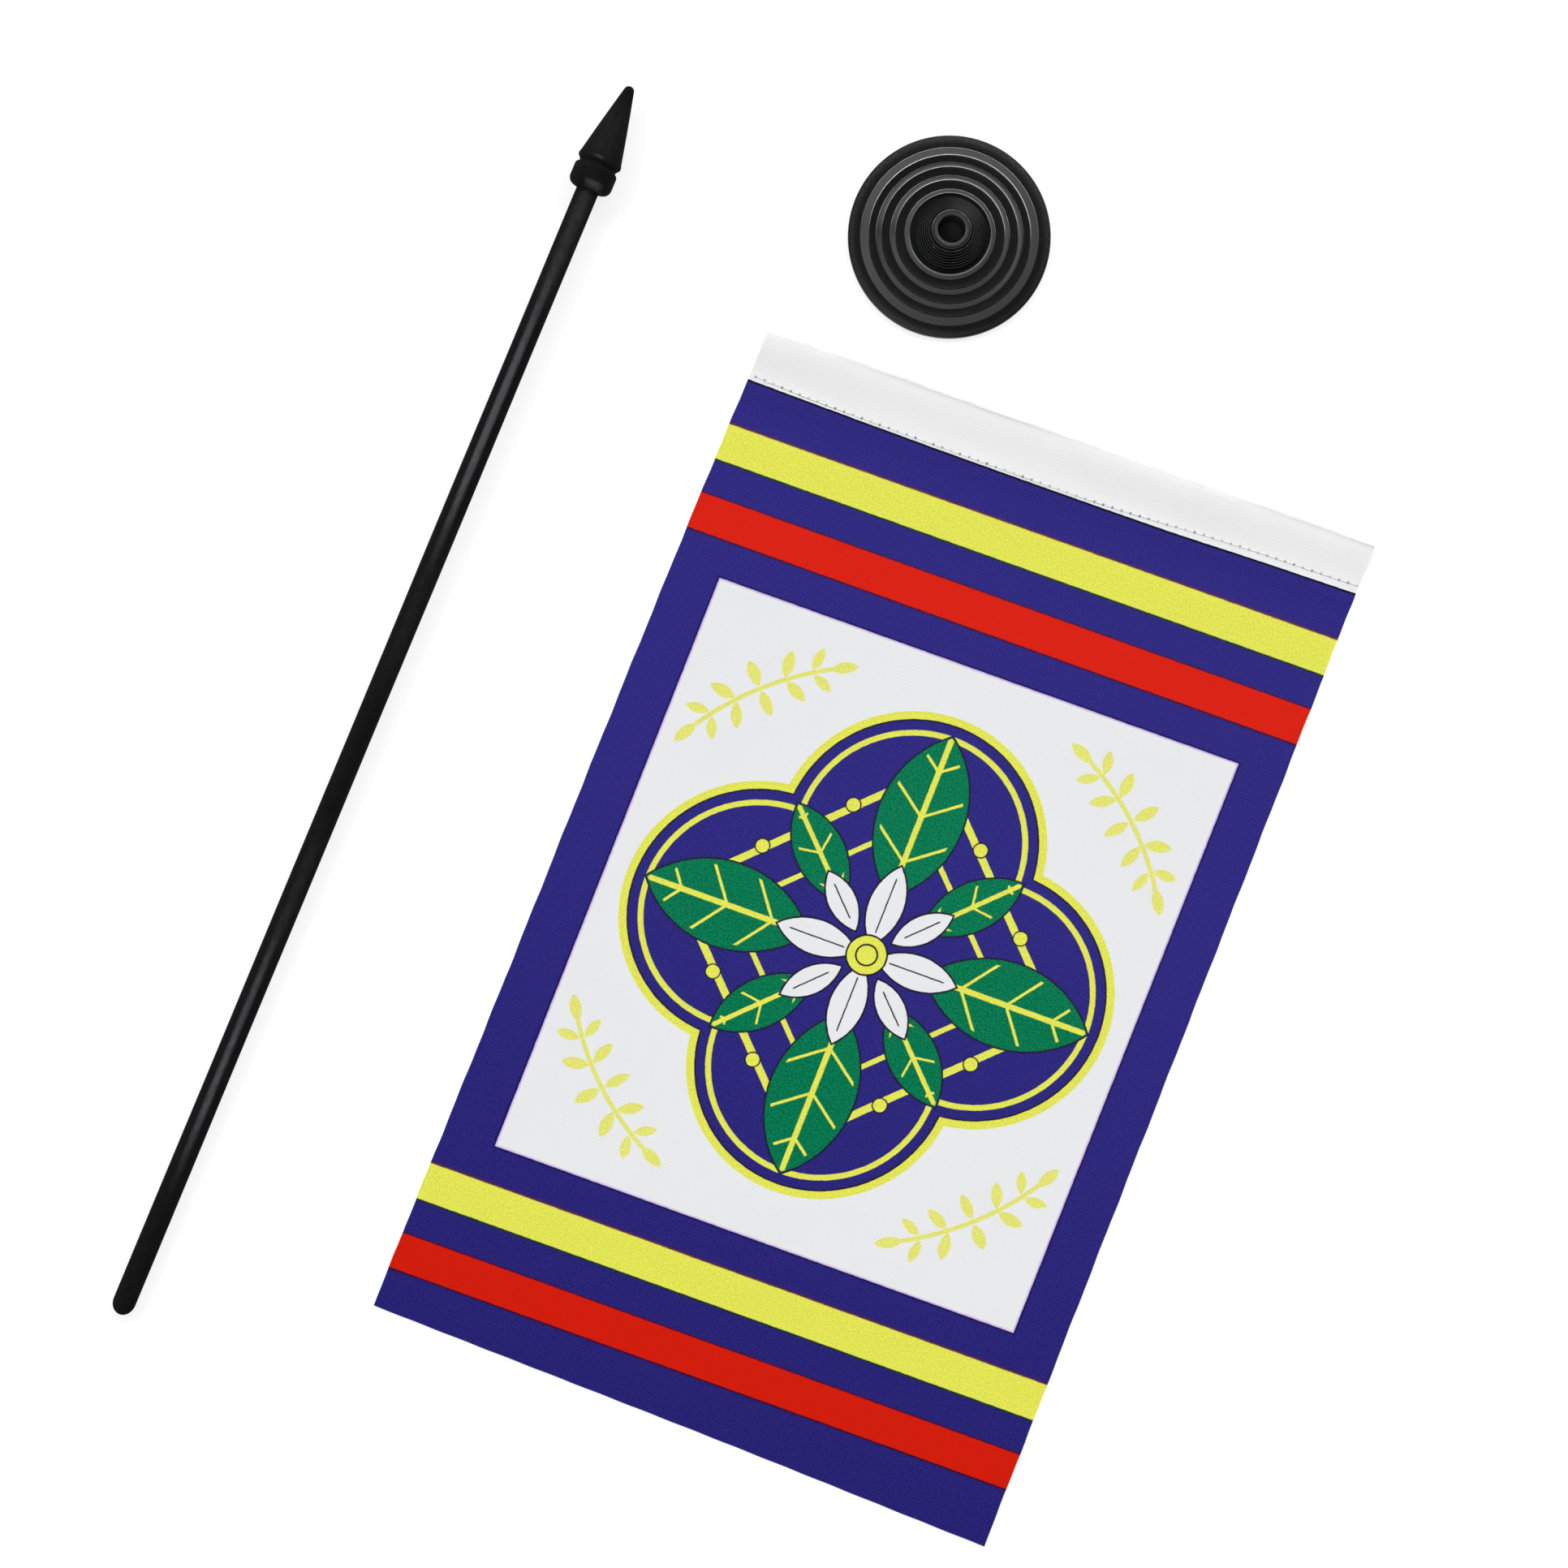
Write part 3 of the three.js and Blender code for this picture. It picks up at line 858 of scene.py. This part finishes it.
def satin_black_plastic(base, centre, turn):
    """Injection-moulded black polystyrene: satin gloss, faint turned marks from the mould, a few pale specks
    of dust, and a duller, paler rim, edge and socket, partly where poles and hands have rubbed it and partly
    painted sheen. The socket's floor and the innermost ring's lip are painted paler, as painted light."""
    material, node = new_material("satin_black_polystyrene")
    rim = base.radius / MM
    socket = base.socket_radius / MM
    place = node("TexCoord").outputs["Object"]
    place = node("Mapping", place, (-centre.x * 1000, -centre.y * 1000, 0.0), None, (1000.0,) * 3)
    flat = node("VectorMath", place, (1.0, 1.0, 0.0), operation="MULTIPLY")
    radius = node("VectorMath", flat, operation="LENGTH").outputs["Value"]
    rings = node("CombineXYZ", radius)
    turned = node("TexNoise", rings, named={"Scale": 3.2, "Detail": 2.0})
    grain = node("TexNoise", place, named={"Scale": 4.0, "Detail": 3.0, "Roughness": 0.65})
    dust = node("TexVoronoi", place, named={"Scale": 0.55})
    speck = node("MapRange", dust, 0.05, 0.09, 1.0, 0.0)
    gate = node("TexNoise", place, named={"Scale": 0.35, "Detail": 1.0})
    gate = node("MapRange", gate, 0.58, 0.62, 0.0, 0.5)
    speck = node("Math", speck, gate, operation="MULTIPLY")
    mottle = node("MapRange", grain, 0.3, 0.7, 0.7, 1.3)
    tint = node("VectorMath", tuple(base.black)[:3], mottle, operation="MULTIPLY")
    tint = node("MixRGB", speck, tint, linear("3A3B3E"))
    # The socket's rim, the socket and the flange's edge are paler and duller: partly wear, partly painted
    # sheen
    wear_and_sheen = node("MapRange", radius, socket + 0.65, socket + 0.95, 0.7, 0.0)
    edge = node("MapRange", radius, rim - 1.7, rim - 0.9, 0.0, 0.18)
    edge = node("MapRange", radius, rim - 0.45, rim - 0.25, edge, 0.0)
    wear_and_sheen = node("Math", wear_and_sheen, edge, operation="ADD")
    tint = node("MixRGB", wear_and_sheen, tint, base.wear_and_sheen)
    # The floor of the socket is painted paler, as painted light in the dark socket
    painted_socket_light = node("MapRange", radius, socket - 0.4, socket - 0.1, 0.3, 0.0)
    tint = node("MixRGB", painted_socket_light, tint, linear("8A8A8C"))
    # Painted highlight: the innermost ring's lip is painted paler towards the foot of the camera's view, in
    # place of a glint
    outward = node("VectorMath", flat, operation="NORMALIZE")
    user_side = (sin(turn), -cos(turn), 0.0)
    near = node("VectorMath", outward, user_side, operation="DOT_PRODUCT").outputs["Value"]
    near = node("MapRange", near, -0.1, 0.6, 0.0, 0.85)
    lip = node("MapRange", radius, LIP_RADIUS - 0.2, LIP_RADIUS - 0.1, 0.0, near)
    lip = node("MapRange", radius, LIP_RADIUS + 0.1, LIP_RADIUS + 0.22, lip, 0.0)
    tint = node("MixRGB", lip, tint, linear("8E8E92"))
    rough = node("MapRange", grain, 0.3, 0.7, 0.18, 0.27)
    rough = node("MixRGB", wear_and_sheen, rough, (0.38, 0.38, 0.38, 1.0))
    relief = node("Math", turned, grain, operation="ADD")
    bump = node("Bump", named={"Strength": 0.08, "Distance": 0.00003, "Height": relief})
    finish_material(node, Base_Color=tint, Roughness=rough, IOR=1.59, Specular_IOR_Level=0.67, Normal=bump)
    return material


def matt_black_plastic(pole, place_matrix, name, highlight_spots):
    """Moulded black polypropylene: soft matt surface with a fine grain drawn out along the pole. A spot is a
    painted highlight on its upper side, paler and a little glossier:
    [to the side, along the pole, reach across, reach along, strength]."""
    material, node = new_material(name)
    place = node("TexCoord").outputs["Object"]
    place = node("VectorMath", place, (1000.0,) * 3, operation="MULTIPLY")
    axis = place_matrix.to_3x3() @ Vector((0.0, 0.0, 1.0))
    foot = place_matrix.translation * 1000.0
    # The pole's own frame: x to the side, y along it, z up
    heading = atan2(-axis.x, axis.y)
    local = node("Mapping", place, tuple(foot), (0.0, 0.0, heading), vector_type="TEXTURE")
    drawn = node("VectorMath", local, (1.0, 0.25, 1.0), operation="MULTIPLY")
    grain = node("TexNoise", drawn, named={"Scale": 1.6, "Detail": 4.0, "Roughness": 0.7})
    # Noise that breaks up the painted highlights
    highlight_noise = node("TexNoise", drawn, named={"Scale": 0.12, "Detail": 3.0})
    patchy = node("MapRange", highlight_noise, 0.3, 0.7, 0.7, 1.1)
    height = node("SeparateXYZ", local).outputs[2]
    upper = node("MapRange", height, 0.0, 1.0)
    # Painted highlights: paler, glossier spots on the upper side only
    gloss_and_highlight = 0.0
    for aside, middle, reach_across, reach_along, strength in highlight_spots:
        away = node("VectorMath", local, (aside, middle, 0.0), operation="SUBTRACT")
        away = node("VectorMath", away, operation="ABSOLUTE")
        parts = node("SeparateXYZ", away)
        spot = None
        for part, reach in ((parts.outputs[0], reach_across), (parts.outputs[1], reach_along)):
            near = node("MapRange", part, reach * 0.08, reach, 1.0, 0.0, interpolation_type="SMOOTHERSTEP")
            spot = node("Math", spot, near, operation="MULTIPLY") if spot else near
        gloss_and_highlight = node("Math", spot, strength, gloss_and_highlight, operation="MULTIPLY_ADD")
    gloss_and_highlight = node("Math", gloss_and_highlight, upper, operation="MULTIPLY")
    gloss_and_highlight = node("Math", gloss_and_highlight, patchy, operation="MULTIPLY")
    speckled = node("MapRange", grain, 0.35, 0.65, 0.68, 1.32)
    gloss_and_highlight = node("Math", gloss_and_highlight, speckled, operation="MULTIPLY")
    mottle = node("MapRange", grain, 0.3, 0.7, 0.7, 1.3)
    # Painted shade: the flanks and underside are painted darker than the back, growing lighter towards the
    # top
    painted_flank_shade = node("MapRange", height, 0.4, 2.3, 0.4, 1.0)
    mottle = node("Math", mottle, painted_flank_shade, operation="MULTIPLY")
    tint = node("VectorMath", tuple(pole.black)[:3], mottle, operation="MULTIPLY")
    tint = node("MixRGB", gloss_and_highlight, tint, pole.highlighted)
    rough = node("MapRange", gloss_and_highlight, 0.0, 1.0, 0.78, 0.5)
    bump = node("Bump", named={"Strength": 0.3, "Distance": 0.00004, "Height": grain})
    finish_material(node, Base_Color=tint, Roughness=rough, Specular_IOR_Level=0.035, Normal=bump)
    return material


class TABLE_FLAG_OT_stage(bpy.types.Operator):
    """Make the pale surface, the soft light from all round and the camera straight above"""

    bl_idname = "table_flag.stage"
    bl_label = "Stage"
    bl_options = {"REGISTER", "UNDO"}

    def execute(self, context):
        stage = context.scene.table_flag.stage
        deselect_all()
        bpy.ops.mesh.primitive_plane_add(size=8.0, location=(0.0, 0.0, -0.00004))
        surface = context.object
        surface.name = "laying_surface"
        surface.data.materials.append(pale_surface(stage))
        # A weak light from nearly straight above reaches into the base's socket
        bpy.ops.object.light_add(type="SUN", location=(0.0, 0.0, 1.0))
        lamp = context.object
        lamp.name = "top_light"
        lamp.data.energy = 0.06
        lamp.data.angle = radians(20.0)
        lamp.rotation_euler = (radians(-12.0), 0.0, stage.camera_turn - radians(225.0))
        place = (-0.00375, 0.00707, stage.camera_height)
        bpy.ops.object.camera_add(location=place, rotation=(0.0, 0.0, stage.camera_turn))
        camera = context.object
        camera.name = "photo_camera"
        camera.data.lens = stage.camera_lens
        camera.data.sensor_width = 36.0
        camera.data.clip_start = 0.01
        context.scene.camera = camera
        context.scene.view_settings.view_transform = "Standard"
        studio_sky(context.scene, stage)
        return {"FINISHED"}


def pale_surface(stage):
    """Plain white acrylic, lit from below as a light table is, so that shadows on it stay faint"""
    material, node = new_material("white_light_table")
    place = node("TexCoord").outputs["Object"]
    grain = node("TexNoise", place, named={"Scale": 400.0, "Detail": 2.0})
    bump = node("Bump", named={"Strength": 0.05, "Distance": 0.0001, "Height": grain})
    finish_material(
        node,
        Base_Color=tuple(stage.floor),
        Roughness=0.9,
        Specular_IOR_Level=0.0,
        Emission_Color=(1.0, 1.0, 1.0, 1.0),
        Emission_Strength=stage.floor_glow,
        Normal=bump,
    )
    return material


def studio_sky(scene, stage):
    """Soft light all round: pale walls near the horizon, and a narrow strip light under a dim ceiling"""
    world = bpy.data.worlds.new("soft_studio")
    node = empty_nodes(world)
    direction = node("TexCoord").outputs["Generated"]
    axes = node("SeparateXYZ", direction)
    ramp = node("ValToRGB", axes.outputs[2])
    stops = ((0.0, 0.80), (0.08, 1.0), (0.42, 1.0), (0.58, 0.42), (0.70, 0.06), (1.0, 0.015))
    while len(ramp.color_ramp.elements) < len(stops):
        ramp.color_ramp.elements.new(0.5)
    for element, (position, level) in zip(ramp.color_ramp.elements, stops):
        element.position = position
        element.color = (level, level, level, 1.0)
    sine = sin(stage.camera_turn)
    cosine = cos(stage.camera_turn)
    up = (-sine, cosine, 0.0)
    toward_top = node("VectorMath", direction, up, operation="DOT_PRODUCT").outputs["Value"]
    window = node("MapRange", toward_top, 0.45, 0.85, 0.0, 0.12, interpolation_type="SMOOTHSTEP")
    left = (-cosine, -sine, 0.0)
    toward_left = node("VectorMath", direction, left, operation="DOT_PRODUCT").outputs["Value"]
    walls = node("MapRange", toward_left, -1.0, 1.0, 0.70, 1.02)
    gain = node("Math", walls, window, operation="ADD")
    shade = node("MapRange", toward_top, -0.9, -0.1, 0.8, 1.0)
    gain = node("Math", gain, shade, operation="MULTIPLY")
    level = node("Math", ramp, gain, operation="MULTIPLY")
    # The strip light hangs in a half circle, 50 degrees up, from left over the top to the right
    strip = node("MapRange", toward_top, 0.10, 0.30, 0.0, stage.strip_strength)
    strip = node("MapRange", axes.outputs[2], 0.735, 0.745, 0.0, strip)
    strip = node("MapRange", axes.outputs[2], 0.795, 0.805, strip, 0.0)
    level = node("Math", level, strip, operation="ADD")
    background = node("Background", (1.0, 1.0, 1.0, 1.0), level)
    node("OutputWorld", background)
    scene.world = world


class VIEW3D_PT_table_flag(bpy.types.Panel):
    """Sizes, colours and steps of the table flag"""

    bl_idname = "VIEW3D_PT_table_flag"
    bl_label = "Table flag"
    bl_space_type = "VIEW_3D"
    bl_region_type = "UI"
    bl_category = "Table flag"

    def draw(self, context):
        flag = context.scene.table_flag
        for operator, group in STEPS:
            box = self.layout.box()
            box.operator(operator.bl_idname)
            settings = getattr(flag, group)
            for setting in settings.__annotations__:
                box.prop(settings, setting)


STEPS = (
    (TABLE_FLAG_OT_stage, "stage"),
    (TABLE_FLAG_OT_cloth, "cloth"),
    (TABLE_FLAG_OT_seam, "seam"),
    (TABLE_FLAG_OT_pole, "pole"),
    (TABLE_FLAG_OT_finial, "pole"),
    (TABLE_FLAG_OT_base, "base"),
)
CLASSES = (
    TableFlagCloth,
    TableFlagSeam,
    TableFlagPole,
    TableFlagBase,
    TableFlagStage,
    TableFlag,
    *(operator for operator, _ in STEPS),
    VIEW3D_PT_table_flag,
)


def register():
    for item in CLASSES:
        bpy.utils.register_class(item)
    bpy.types.Scene.table_flag = bpy.props.PointerProperty(
        name="Table flag", description="Settings of the table flag", type=TableFlag
    )


def unregister():
    del bpy.types.Scene.table_flag
    for item in reversed(CLASSES):
        bpy.utils.unregister_class(item)


def main():
    register()
    for operator, _ in STEPS:
        group, name = operator.bl_idname.split(".")
        getattr(getattr(bpy.ops, group), name)()


if __name__ == "__main__":
    main()
